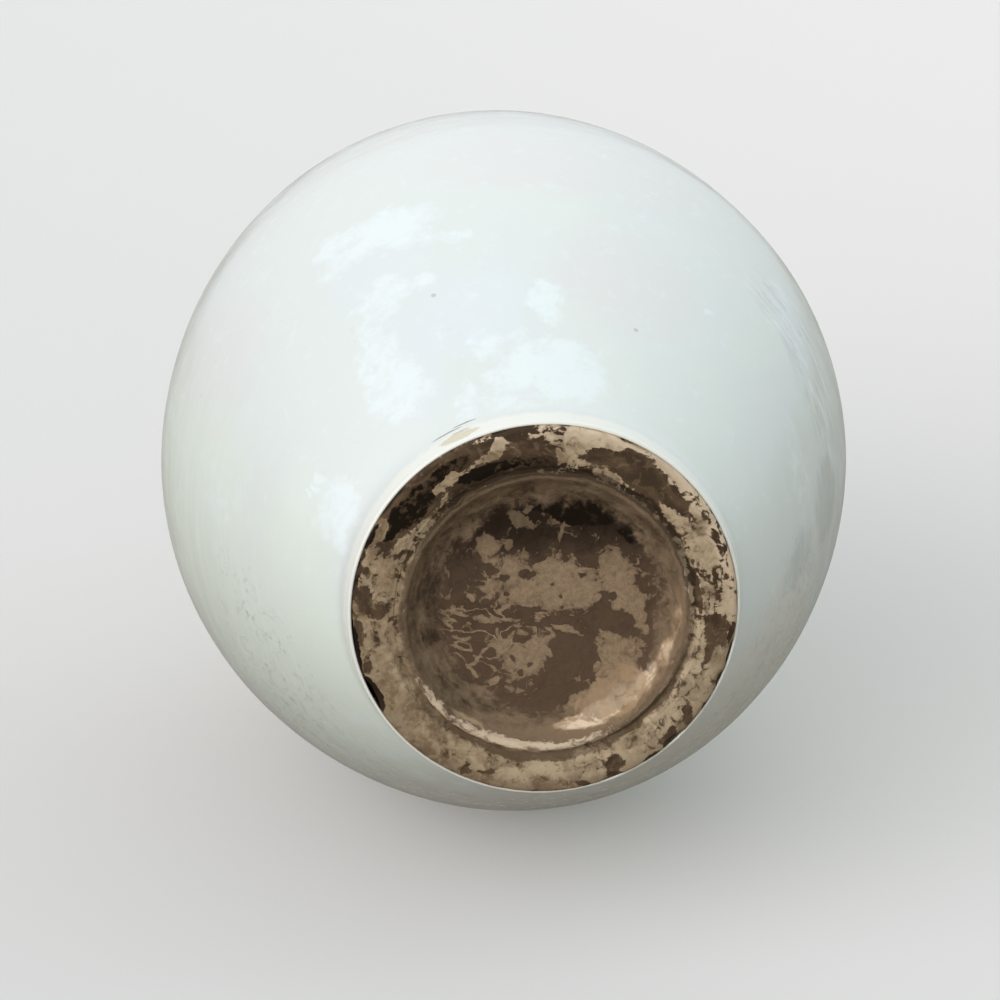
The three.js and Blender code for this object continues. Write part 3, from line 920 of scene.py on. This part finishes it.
        # Painted shadow cast by the ring's inner edge at the top of the hollow.
        shadowed_top = (turning.east * 0.30 - turning.north).step(0.05, 0.60)
        colour = bench.mix(broken.band(*self.lip_shadow) * shadowed_top * 0.62, colour, self.black)

        # Painted highlight where the ring's inner edge catches the light on the lower side, in the mask
        # below.
        low = (turning.north * 0.96 - turning.east * 0.32).step(0.55, 0.95)
        streaky = low * 1.15 + site.ragged(swept=3.0, middling=2.4)
        worn = (broken.band(*self.crest) * streaky).step(0.35, 1.20)
        colour = bench.mix(worn * 0.68, colour, self.cream)

        grit = bench.grain(where, 0.9 * MM, 5.0, 0.65)
        lines = turning.streaks(turning.radius, 0.9 * MM, 0.5, 3.0, 0.6)
        relief = grit * 0.45 + lines * 0.25 + bench.grain(where, 2.6 * MM, 5.0, 0.68, 0.8) * 0.6
        return bench.finish(
            {
                "Base Color": colour,
                "Roughness": 0.80 + grit * 0.15,
                "Specular IOR Level": 0.1,
                "Normal": bench.bump(relief, self.relief_depth),
            }
        )


@dataclass(frozen=True)
class HiddenClay:
    """Fired clay and slip inside the wall, which the glaze covers."""

    name: str
    light: Colour
    dark: Colour

    def material(self) -> bpy.types.Material:
        """Makes the material."""
        bench = Workbench.named(self.name)
        where = bench.place()
        fleck = bench.grain(where, 4 * MM, 5.0, 0.6).step(0.35, 0.7)
        colour = bench.mix(fleck, self.dark, self.light)
        normal = bench.bump(bench.grain(where, 1.5 * MM, 5.0, 0.6), 0.3 * MM)
        return bench.finish({"Base Color": colour, "Roughness": 0.9, "Normal": normal})


def bezier(points: Sequence[ProfilePoint], count: int) -> list[ProfilePoint]:
    """Points along a curve with two, three or four control points.

    Args:
        points: The control points, radius and height.
        count: How many steps the curve is cut into.

    Returns:
        The points, both ends included.
    """
    degree = len(points) - 1
    found: list[ProfilePoint] = []
    for step in range(count + 1):
        t = step / count
        shares = [math.comb(degree, i) * t**i * (1 - t) ** (degree - i) for i in range(degree + 1)]
        radius = sum(share * point[0] for share, point in zip(shares, points))
        height = sum(share * point[1] for share, point in zip(shares, points))
        found.append((radius, height))
    return found


def joined(*runs: Sequence[ProfilePoint]) -> list[ProfilePoint]:
    """Several runs of points as one, without the points that two runs share."""
    whole: list[ProfilePoint] = []
    for run in runs:
        for point in run:
            if not whole or math.dist(whole[-1], point) > TOUCHING:
                whole.append(point)
    return whole


def offset(points: Sequence[ProfilePoint], distance: float) -> list[ProfilePoint]:
    """A run of points moved sideways, outwards where the run climbs.

    Args:
        points: The run.
        distance: How far it moves.

    Returns:
        The moved run.
    """
    moved: list[ProfilePoint] = []
    last = len(points) - 1
    for index, (radius, height) in enumerate(points):
        before = points[max(index - 1, 0)]
        after = points[min(index + 1, last)]
        run, rise = after[0] - before[0], after[1] - before[1]
        length = math.hypot(run, rise)
        moved.append((radius + distance * rise / length, height - distance * run / length))
    return moved


@dataclass
class BottleOutline:
    """The clay's outline, the same named sizes as the solids, in metres."""

    foot_radius: float = 44.0 * MM
    foot_height: float = 11.0 * MM
    foot_flare: float = 1.6 * MM
    foot_turn: float = 3.0 * MM
    belly_radius: float = 91.2 * MM
    belly_height: float = 122.0 * MM
    belly_joint: float = 0.3 * MM
    flank_angle: float = 38.0
    flank_reach: float = 34.0 * MM
    flank_fullness: float = 27.0 * MM
    shoulder_fullness: float = 77.0 * MM
    shoulder_radius: float = 35.0 * MM
    shoulder_height: float = 238.0 * MM
    shoulder_angle: float = -55.0
    shoulder_reach: float = 36.0 * MM
    neck_joint: float = 0.6 * MM
    neck_sweep: float = 17.0 * MM
    neck_top_radius: float = 24.0 * MM
    neck_top_angle: float = 17.0
    neck_top_reach: float = 30.0 * MM
    total_height: float = 330.0 * MM
    rim_height: float = 16.0 * MM
    rim_sweep: float = 4.0 * MM
    lip_radius: float = 3.0 * MM
    lip_start_angle: float = -35.0
    mouth_radius: float = 30.2 * MM
    glaze: float = 0.8 * MM
    lining: float = 0.5 * MM
    body_wall: float = 5.4 * MM
    neck_wall: float = 4.2 * MM
    floor_height: float = 14.1 * MM
    floor_flat: float = 12.0 * MM
    floor_radius: float = 26.0 * MM
    floor_rise: float = 0.2 * MM
    floor_corner: float = 4.0 * MM
    neck_thinning: float = 20.0 * MM
    foot_steps: int = 22
    turn_steps: int = 12
    belly_steps: int = 110
    neck_steps: int = 64
    rim_steps: int = 14
    lip_steps: int = 28

    @staticmethod
    def lean(angle: float, length: float = 1.0) -> ProfilePoint:
        """A step along a line that leans outwards from the upright by an angle in degrees."""
        return length * math.sin(math.radians(angle)), length * math.cos(math.radians(angle))

    @staticmethod
    def shifted(point: ProfilePoint, step: ProfilePoint) -> ProfilePoint:
        """A point moved by a step."""
        return point[0] + step[0], point[1] + step[1]

    def foot_wall(self, height: float) -> ProfilePoint:
        """The outside of the foot at one height."""
        return self.foot_radius + self.foot_flare * height / self.foot_height, height

    def lip_centre(self) -> ProfilePoint:
        """The middle of the rolled lip."""
        height = self.total_height - self.glaze - self.lip_radius
        return self.mouth_radius - self.lip_radius, height

    def outside(self) -> list[ProfilePoint]:
        """The clay's outside, from the foot to the inner side of the lip."""
        wall = bezier([self.foot_wall(0.0), self.foot_wall(self.foot_height)], self.foot_steps)
        down = math.hypot(self.foot_flare, self.foot_height)
        foot_step = (self.foot_flare / down * self.foot_turn, self.foot_height / down * self.foot_turn)
        corner = self.foot_wall(self.foot_height)
        turn_start = (corner[0] - foot_step[0], corner[1] - foot_step[1])
        flank_start = self.shifted(corner, self.lean(self.flank_angle, self.foot_turn))
        turn = bezier([turn_start, corner, flank_start], self.turn_steps)
        wall = [point for point in wall if point[1] < turn_start[1]]
        lower = self.belly_height - self.belly_joint
        upper = self.belly_height + self.belly_joint
        flank = bezier(
            [
                flank_start,
                self.shifted(flank_start, self.lean(self.flank_angle, self.flank_reach)),
                (self.belly_radius, lower - self.flank_fullness),
                (self.belly_radius, lower),
            ],
            self.belly_steps,
        )
        end = (self.shoulder_radius, self.shoulder_height)
        shoulder = bezier(
            [
                (self.belly_radius, upper),
                (self.belly_radius, upper + self.shoulder_fullness),
                self.shifted(end, self.lean(self.shoulder_angle, -self.shoulder_reach)),
                end,
            ],
            self.belly_steps,
        )
        start = self.shifted(end, self.lean(self.shoulder_angle, self.neck_joint))
        neck_end = (self.neck_top_radius, self.total_height - self.rim_height)
        neck = bezier(
            [
                start,
                self.shifted(start, self.lean(self.shoulder_angle, self.neck_sweep)),
                self.shifted(neck_end, self.lean(self.neck_top_angle, -self.neck_top_reach)),
                neck_end,
            ],
            self.neck_steps,
        )
        lip = []
        for step in range(self.lip_steps + 1):
            angle = self.lip_start_angle + (180 - self.lip_start_angle) * step / self.lip_steps
            lip.append(self.shifted(self.lip_centre(), self.lean(90 - angle, self.lip_radius)))
        before_lip = self.shifted(lip[0], self.lean(-self.lip_start_angle, -self.rim_sweep))
        rim_start = self.shifted(neck_end, self.lean(self.neck_top_angle, self.rim_sweep))
        rim = bezier([neck_end, rim_start, before_lip, lip[0]], self.rim_steps)
        return joined(wall, turn, flank, shoulder, neck, rim, lip)

    def inside(self) -> list[ProfilePoint]:
        """The clay's inside, from the middle of the floor up to the inner side of the lip."""
        shell = [point for point in offset(self.outside(), -self.body_wall) if point[0] > 0]
        lip = self.lip_centre()
        kept: list[ProfilePoint] = [(0.0, self.floor_height), (self.floor_flat, self.floor_height)]
        kept.append((self.floor_radius, self.floor_height + self.floor_rise))
        for radius, height in shell:
            if height < self.floor_height + self.floor_corner or height > lip[1] - self.floor_corner:
                continue
            share = min(max((height - self.shoulder_height) / self.neck_thinning, 0.0), 1.0)
            kept.append((radius + share * (self.body_wall - self.neck_wall), height))
        kept.append((lip[0] - self.lip_radius, lip[1]))
        return kept


@dataclass
class TurnedForm:
    """A surface that is turned on the wheel: an outline swept once round the axis."""

    name: str
    profile: Sequence[ProfilePoint]
    segments: int = 256
    closed: bool = True
    relief: Callable[[float, float, float], float] | None = None

    def build(self) -> bpy.types.Object:
        """Makes the mesh.

        Returns:
            The new object, linked to the scene.
        """
        mesh = bmesh.new()
        normals = offset(self.profile, 1.0)
        rings: list[list[bmesh.types.BMVert]] = []
        for (radius, height), (out_radius, out_height) in zip(self.profile, normals):
            if radius < TOUCHING:
                rings.append([mesh.verts.new((0.0, 0.0, height))])
                continue
            ring = []
            for segment in range(self.segments):
                angle = 2 * math.pi * segment / self.segments
                push = self.relief(angle, radius, height) if self.relief else 0.0
                r = radius + push * (out_radius - radius)
                z = height + push * (out_height - height)
                ring.append(mesh.verts.new((r * math.sin(angle), -r * math.cos(angle), z)))
            rings.append(ring)
        pairs = list(zip(rings[:-1], rings[1:]))
        if self.closed:
            pairs.append((rings[-1], rings[0]))
        for first, second in pairs:
            self._bridge(mesh, first, second)
        bmesh.ops.recalc_face_normals(mesh, faces=mesh.faces)
        return linked(self.name, mesh)

    @staticmethod
    def _bridge(
        mesh: bmesh.types.BMesh, first: list[bmesh.types.BMVert], second: list[bmesh.types.BMVert]
    ) -> None:
        """Fills the band between two rings, or the fan between a ring and a point."""
        if len(first) == 1 and len(second) == 1:
            return
        count = max(len(first), len(second))
        for index in range(count):
            after = (index + 1) % count
            if len(first) == 1:
                corners = [first[0], second[after], second[index]]
            elif len(second) == 1:
                corners = [first[index], first[after], second[0]]
            else:
                corners = [first[index], first[after], second[after], second[index]]
            mesh.faces.new(corners)


def linked(name: str, mesh: bmesh.types.BMesh) -> bpy.types.Object:
    """Turns a bmesh into an object in the scene, with smooth faces.

    Args:
        name: The object's name.
        mesh: The bmesh, which is freed.

    Returns:
        The object.
    """
    data = bpy.data.meshes.new(name)
    mesh.to_mesh(data)
    mesh.free()
    data.polygons.foreach_set("use_smooth", [True] * len(data.polygons))
    piece = bpy.data.objects.new(name, data)
    bpy.context.scene.collection.objects.link(piece)
    return piece


def dressed(piece: bpy.types.Object, material: bpy.types.Material) -> None:
    """Gives a piece one material, in place of any that it came with."""
    piece.data.materials.clear()
    piece.data.materials.append(material)


@dataclass
class GlazeCoats:
    """The coat outside and the lining inside."""

    outline: BottleOutline
    edge_height: float = 1.3 * MM
    clearance: float = 0.02 * MM
    throwing_line: float = 0.05 * MM
    sway: float = 0.12 * MM
    still_below: float = 4.0 * MM
    fade_length: float = 8.0 * MM
    wave_rate: float = 30.0
    wave_grain: float = 1.3
    line_rate: float = 160.0
    line_grain: float = 0.6
    edge_drop: float = 0.10 * MM
    edge_lift: float = 0.02 * MM
    edge_end: float = 0.4 * MM
    narrow: float = 40.0 * MM
    coat_segments: int = 288
    lining_segments: int = 128

    def relief(self, angle: float, radius: float, height: float) -> float:
        """How far the glaze swells or dips at one place."""
        spot = around(math.degrees(angle), 1.0, height * self.wave_rate)
        wave = noise.noise(spot * self.wave_grain) * self.sway
        drawn_out = Vector((spot.x * self.line_grain, spot.y * self.line_grain, height * self.line_rate))
        line = noise.noise(drawn_out) * self.throwing_line
        fade = min(max((height - self.still_below) / self.fade_length, 0.0), 1.0)
        return (wave + line) * fade

    def outer_profile(self) -> list[ProfilePoint]:
        """The closed outline of the coat outside, from its edge at the foot over the lip."""
        clay = [point for point in self.outline.outside() if point[1] >= self.edge_height]
        outer = offset(clay, self.outline.glaze)
        inner = offset(clay, self.clearance)
        start, edge = inner[0], outer[0]
        thick = edge[0] - start[0]
        rounded = [
            start,
            (start[0] + thick / 4, edge[1] - self.edge_drop),
            (start[0] + thick * 3 / 4, edge[1] + self.edge_lift),
        ]
        rising = [point for point in outer if point[1] > edge[1] + self.edge_end or point[0] < self.narrow]
        return joined(rounded, rising, list(reversed(inner)))

    def build(self) -> list[bpy.types.Object]:
        """Makes both coats.

        Returns:
            The coat outside and the lining.
        """
        coat = TurnedForm("glaze_coat", self.outer_profile(), self.coat_segments, relief=self.relief).build()
        dressed(coat, PaleGlaze().material())
        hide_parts("outer_glaze")
        clay = self.outline.inside()
        wet = offset(clay, -self.outline.lining)
        wet[0] = (0.0, wet[0][1])
        behind = offset(clay, -self.clearance)
        behind[0] = (0.0, behind[0][1])
        profile = joined(wet, list(reversed(behind)))
        lining = TurnedForm("glaze_lining", profile, self.lining_segments, closed=False).build()
        dressed(lining, LiningGlaze().material())
        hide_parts("inner_glaze")
        for piece in (coat, lining):
            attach(piece, "root")
            LOG.info("%s: %d vertices", piece.name, len(piece.data.vertices))
        return [coat, lining]


@dataclass
class Foot:
    """The turned foot ring, its recess and the slab that closes it.

    CHIPS are where its outer edge is chipped or rubbed away: on_clay's numbers, the weight being the depth.
    """

    CHIPS: ClassVar[Rows] = (
        (-39.8, 19.0, 2.4, 5.0, -28, 0.9), (-43.9, 3.0, 1.4, 7.0, -4, 0.35),
        (-41.5, -14.5, 1.6, 4.0, 19, 0.5), (-34.5, -27.5, 1.8, 5.0, 38, 0.6),
        (-12.0, -42.4, 4.0, 1.4, -16, 0.5), (20.0, -39.2, 5.0, 1.4, 27, 0.45),
        (42.6, 10.8, 1.5, 4.0, 14, 0.5), (40.6, 17.2, 1.5, 2.6, 23, 0.6), (30.6, 31.6, 3.0, 1.7, -45, 0.6),
        (15.6, 41.0, 3.0, 1.6, -20, 0.5),
    )
    outline: BottleOutline
    bevel: float = 0.8 * MM
    face_inner: float = 36.2 * MM
    groove_depth: float = 1.3 * MM
    groove_outer: float = 35.6 * MM
    groove_inner: float = 34.5 * MM
    ridge_drop: float = 0.6 * MM
    ridge_outer: float = 33.8 * MM
    ridge_inner: float = 33.0 * MM
    recess_radius: float = 28.4 * MM
    recess_depth: float = 6.5 * MM
    floor_seam: float = 25.6 * MM
    base_height: float = 7.1 * MM
    base_top: float = 14.1 * MM
    base_radius: float = 39.5 * MM
    wall_rise: float = 1.0 * MM
    bevel_round: float = 0.1 * MM
    ridge_crown: float = 0.3 * MM
    ridge_brow: float = 0.1 * MM
    ridge_foot: float = 0.6 * MM
    ridge_rise: float = 0.5 * MM
    slope_top: float = 1.8 * MM
    slope_bend: float = 0.4 * MM
    slope_sink: float = 0.1 * MM
    seam_reach: float = 3.0 * MM
    seam_rise: float = 0.25 * MM
    seam_cover: float = 0.9 * MM
    ring_over: float = 0.4 * MM
    ring_tuck: float = 1.5 * MM
    slab_middle: float = 0.4 * MM
    coarse_rate: float = 220.0
    coarse_depth: float = 0.12 * MM
    fine_rate: float = 700.0
    fine_depth: float = 0.07 * MM
    worn_inside: float = 1.0 * MM
    worn_share: float = 0.8
    worn_above: float = 0.3 * MM
    wiped_slope: float = 0.25
    wall_steps: int = 10
    bevel_steps: int = 6
    face_steps: int = 24
    groove_steps: int = 8
    ridge_steps: int = 12
    slope_steps: int = 34
    slab_edge: float = 1.0 * MM
    chipped_beyond: float = 40.0 * MM
    ring_segments: int = 512
    slab_segments: int = 384
    slab_rings: int = 66
    chips: list[Patch] = field(default_factory=lambda: [on_clay(*row) for row in Foot.CHIPS])

    def ring_profile(self) -> list[ProfilePoint]:
        """The closed outline of the ring, from its top edge down the outside and up the recess."""
        outer = self.outline.foot_wall(0.0)[0]
        wall_top = self.outline.foot_wall(self.recess_depth + self.wall_rise)
        wall = bezier([wall_top, self.outline.foot_wall(self.bevel)], self.wall_steps)
        face_outer, face_inner = (outer - self.bevel, 0.0), (self.face_inner, 0.0)
        bevel = bezier([wall[-1], (outer, self.bevel_round), face_outer], self.bevel_steps)
        face = bezier([face_outer, face_inner], self.face_steps)
        groove_end = (self.groove_inner, self.groove_depth)
        groove = bezier([face_inner, (self.groove_outer, self.groove_depth), groove_end], self.groove_steps)
        ridge = bezier(
            [
                groove_end,
                (self.ridge_outer, self.ridge_drop - self.ridge_crown),
                (self.ridge_inner, self.ridge_drop - self.ridge_brow),
                (self.ridge_inner - self.ridge_foot, self.ridge_drop + self.ridge_rise),
            ],
            self.ridge_steps,
        )
        slope = bezier(
            [
                ridge[-1],
                (self.recess_radius + self.slope_top, self.recess_depth - self.slope_bend),
                (self.recess_radius - self.slope_bend, self.base_height - self.slope_sink),
                (self.floor_seam - self.seam_reach, self.base_height + self.seam_rise),
            ],
            self.slope_steps,
        )
        above = self.base_height + self.ring_over
        tucked = (self.base_radius - self.ring_tuck, above)
        top = [(self.floor_seam, above), tucked, self.outline.foot_wall(above)]
        return joined(wall, bevel, face, groove, ridge, slope, top)

    def relief(self, angle: float, radius: float, height: float) -> float:
        """How far the turned clay is torn or worn at one place."""
        spot = around(math.degrees(angle), radius, height)
        coarse = noise.noise(spot * self.coarse_rate) * self.coarse_depth
        fine = noise.noise(spot * self.fine_rate) * self.fine_depth
        push = coarse + fine
        if radius > self.chipped_beyond:
            push += sum(chip.at(spot) for chip in self.chips) * MM
        if self.ridge_inner - self.worn_inside < radius < self.face_inner:
            east, south = math.sin(angle), -math.cos(angle)
            kept = min(max((south * 0.97 - 0.20 * east + 0.5 * abs(east) * (east > 0) - 0.1) / 0.6, 0.0), 1.0)
            smooth = height - min(self.wiped(radius), height)
            if height > self.worn_above:
                push -= (1 - kept) * self.worn_share * min(smooth, self.groove_depth)
        return push

    def wiped(self, radius: float) -> float:
        """The height of the ring's face where the groove and the ridge are wiped away."""
        return max(self.face_inner - radius, 0.0) * self.wiped_slope

    def build(self) -> list[bpy.types.Object]:
        """Makes the ring and the slab.

        Returns:
            The ring and the slab.
        """
        ring = TurnedForm("foot_clay", self.ring_profile(), self.ring_segments, relief=self.relief).build()
        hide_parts("foot_ring", "foot_slip")
        middle = (self.slab_middle, self.base_height)
        shown = bezier([middle, (self.floor_seam + self.seam_cover, self.base_height)], self.slab_rings)
        edge = [
            (self.base_radius - self.slab_edge, self.base_height),
            (self.base_radius, self.base_height + self.slab_edge),
            (self.base_radius, self.base_top),
        ]
        profile = joined([(0.0, self.base_height)], shown, edge, [(0.0, self.base_top)])
        slab = TurnedForm("base_slab", profile, self.slab_segments, closed=False, relief=self.relief).build()
        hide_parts("base_disc")
        clay = FootClay().material()
        for piece in (ring, slab):
            dressed(piece, clay)
            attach(piece, "root")
            LOG.info("%s: %d vertices", piece.name, len(piece.data.vertices))
        return [ring, slab]


@dataclass
class ClayBody:
    """The thrown sections and their slip joints, which keep their solids and get their finish here."""

    clay_nodes: tuple[str, ...] = ("lower_body", "upper_body", "neck", "mouth_rim")
    slip_nodes: tuple[str, ...] = ("belly_slip", "neck_slip")

    def dress(self, nodes: Mapping[str, bpy.types.Object]) -> None:
        """Gives every section its finish.

        Args:
            nodes: The solids by name.
        """
        clay = HiddenClay("body_clay", seen(170, 152, 126), seen(128, 108, 84)).material()
        slip = HiddenClay("joint_slip", seen(150, 132, 108), seen(112, 94, 74)).material()
        for name in self.clay_nodes:
            dressed(nodes[name], clay)
        for name in self.slip_nodes:
            dressed(nodes[name], slip)
        LOG.info("sections dressed: %s", ", ".join(self.clay_nodes + self.slip_nodes))


@dataclass
class Studio:
    """The camera, the soft glows, one weak lamp and the plain pale surface that the vase lies on."""

    camera_place: Vector = field(default_factory=lambda: Vector((-0.05555, -0.20997, -0.58860)))
    looks_along: Vector = field(default_factory=lambda: Vector((0.07298, 0.29559, 0.95252)))
    lens: float = 99.0
    sensor: float = 36.0
    floor_side: float = 92.1 * MM
    glows: tuple[tuple[tuple[float, float, float], Colour], ...] = (
        ((-0.7, 0.0, -0.7), (3.05, 2.97, 3.06)),
        ((0.7, -0.7, 0.0), (0.94, 1.04, 1.10)),
        ((0.0, -0.5, 0.86), (0.945, 0.92, 0.935)),
        ((-1.0, 0.0, 0.0), (0.07, 0.10, 0.15)),
        ((1.0, 0.0, 0.0), (0.03, 0.05, 0.05)),
    )
    paper: Colour = seen(222, 221, 217)
    paper_bounce: Colour = seen(152, 145, 134)
    air_shown: Colour = seen(222, 221, 217)
    sheet_side: float = 4.0
    sheet_top: float = 6.0
    sheet_bottom: float = -4.0
    fill_toward: Vector = field(default_factory=lambda: Vector((0.20, 0.62, 0.76)))
    fill_away: float = 2.0
    fill_size: float = 0.5
    fill_watts: float = 20.0
    fill_tint: Colour = seen(250, 250, 250)
    belly_middle: float = 120.0 * MM
    nearest_seen: float = 0.05
    farthest_seen: float = 20.0

    def camera(self) -> bpy.types.Object:
        """Makes the camera, level on the surface that the vase lies on.

        Returns:
            The camera.
        """
        data = bpy.data.cameras.new("camera")
        data.lens = self.lens
        data.sensor_width = self.sensor
        data.clip_start = self.nearest_seen
        data.clip_end = self.farthest_seen
        ahead = self.looks_along.normalized()
        right = Vector((ahead.z, 0.0, -ahead.x)).normalized()
        up = right.cross(ahead)
        facing = Matrix((right, up, -ahead)).transposed().to_4x4()
        maker = bpy.data.objects.new("camera", data)
        bpy.context.scene.collection.objects.link(maker)
        maker.matrix_world = Matrix.Translation(self.camera_place) @ facing
        bpy.context.scene.camera = maker
        return maker

    def fill(self) -> None:
        """Makes the weak lamp that softens the far side. It casts no shadow and nothing mirrors it."""
        data = bpy.data.lights.new("back_fill", "AREA")
        data.use_shadow = False
        data.shape = "SQUARE"
        data.size = self.fill_size
        data.energy = self.fill_watts
        data.color = self.fill_tint
        lamp = bpy.data.objects.new("back_fill", data)
        bpy.context.scene.collection.objects.link(lamp)
        direction = self.fill_toward.normalized()
        lamp.location = Vector((0.0, 0.0, self.belly_middle)) + direction * self.fill_away
        lamp.rotation_mode = "QUATERNION"
        lamp.rotation_quaternion = (-direction).to_track_quat("-Z", "Y")
        lamp.visible_camera = False
        lamp.visible_glossy = False

    def backdrop(self) -> bpy.types.Object:
        """Makes the pale surface that the vase lies on, clear from behind so that it hides nothing."""
        mesh = bmesh.new()
        side, top, bottom = self.sheet_side, self.sheet_top, self.sheet_bottom
        corners = [(side, bottom), (side, top), (-side, top), (-side, bottom)]
        mesh.faces.new([mesh.verts.new((x, self.floor_side, z)) for x, z in corners])
        sheet = linked("studio_surface", mesh)
        bench = Workbench.named("studio_paper")
        camera_ray = bench.add("ShaderNodeLightPath", result="Is Camera Ray")
        tone = bench.mix(camera_ray, self.paper_bounce, self.paper)
        face = bench.add("ShaderNodeBsdfDiffuse", sockets={"Color": tone, "Roughness": 1.0})
        clear = bench.add("ShaderNodeBsdfTransparent")
        behind = bench.add("ShaderNodeNewGeometry", result="Backfacing")
        both = bench.add("ShaderNodeMixShader", sockets={0: behind, 1: face, 2: clear})
        bench.add("ShaderNodeOutputMaterial", sockets={"Surface": both})
        dressed(sheet, bench.holder)
        return sheet

    def air(self) -> None:
        """Makes the surroundings: soft glows for the light, and one pale level for what the camera sees."""
        bench = Workbench(bpy.data.worlds.new("studio_air"))
        bpy.context.scene.world = bench.holder
        toward = bench.add("ShaderNodeTexCoord", result="Generated")
        dome: Signal | None = None
        for direction, tint in self.glows:
            facing = bench.vector("DOT_PRODUCT", toward, Vector(direction).normalized()) | 0.0
            glow = bench.scaled(bench.join(*tint), facing * facing)
            dome = glow if dome is None else bench.vector("ADD", dome, glow)
        lit = bench.add("ShaderNodeBackground", sockets={"Color": dome, "Strength": 1.0})
        shown = bench.add("ShaderNodeBackground", sockets={"Color": (*self.air_shown, 1.0), "Strength": 1.0})
        camera_ray = bench.add("ShaderNodeLightPath", result="Is Camera Ray")
        both = bench.add("ShaderNodeMixShader", sockets={0: camera_ray, 1: lit, 2: shown})
        bench.add("ShaderNodeOutputWorld", sockets={"Surface": both})

    def build(self) -> None:
        """Makes the whole studio."""
        self.camera()
        self.backdrop()
        self.air()
        self.fill()
        view = bpy.context.scene.view_settings
        view.view_transform = "Standard"
        view.look = "None"
        LOG.info("studio ready")


def main() -> None:
    """Loads the solids, builds each sub-assembly over them and sets up the studio."""
    logging.basicConfig(level=logging.INFO, format="%(name)s: %(message)s")
    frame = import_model()
    Studio().build()
    outline = BottleOutline()
    ClayBody().dress(frame["nodes"])
    Foot(outline).build()
    GlazeCoats(outline).build()


if __name__ == "__main__":
    main()
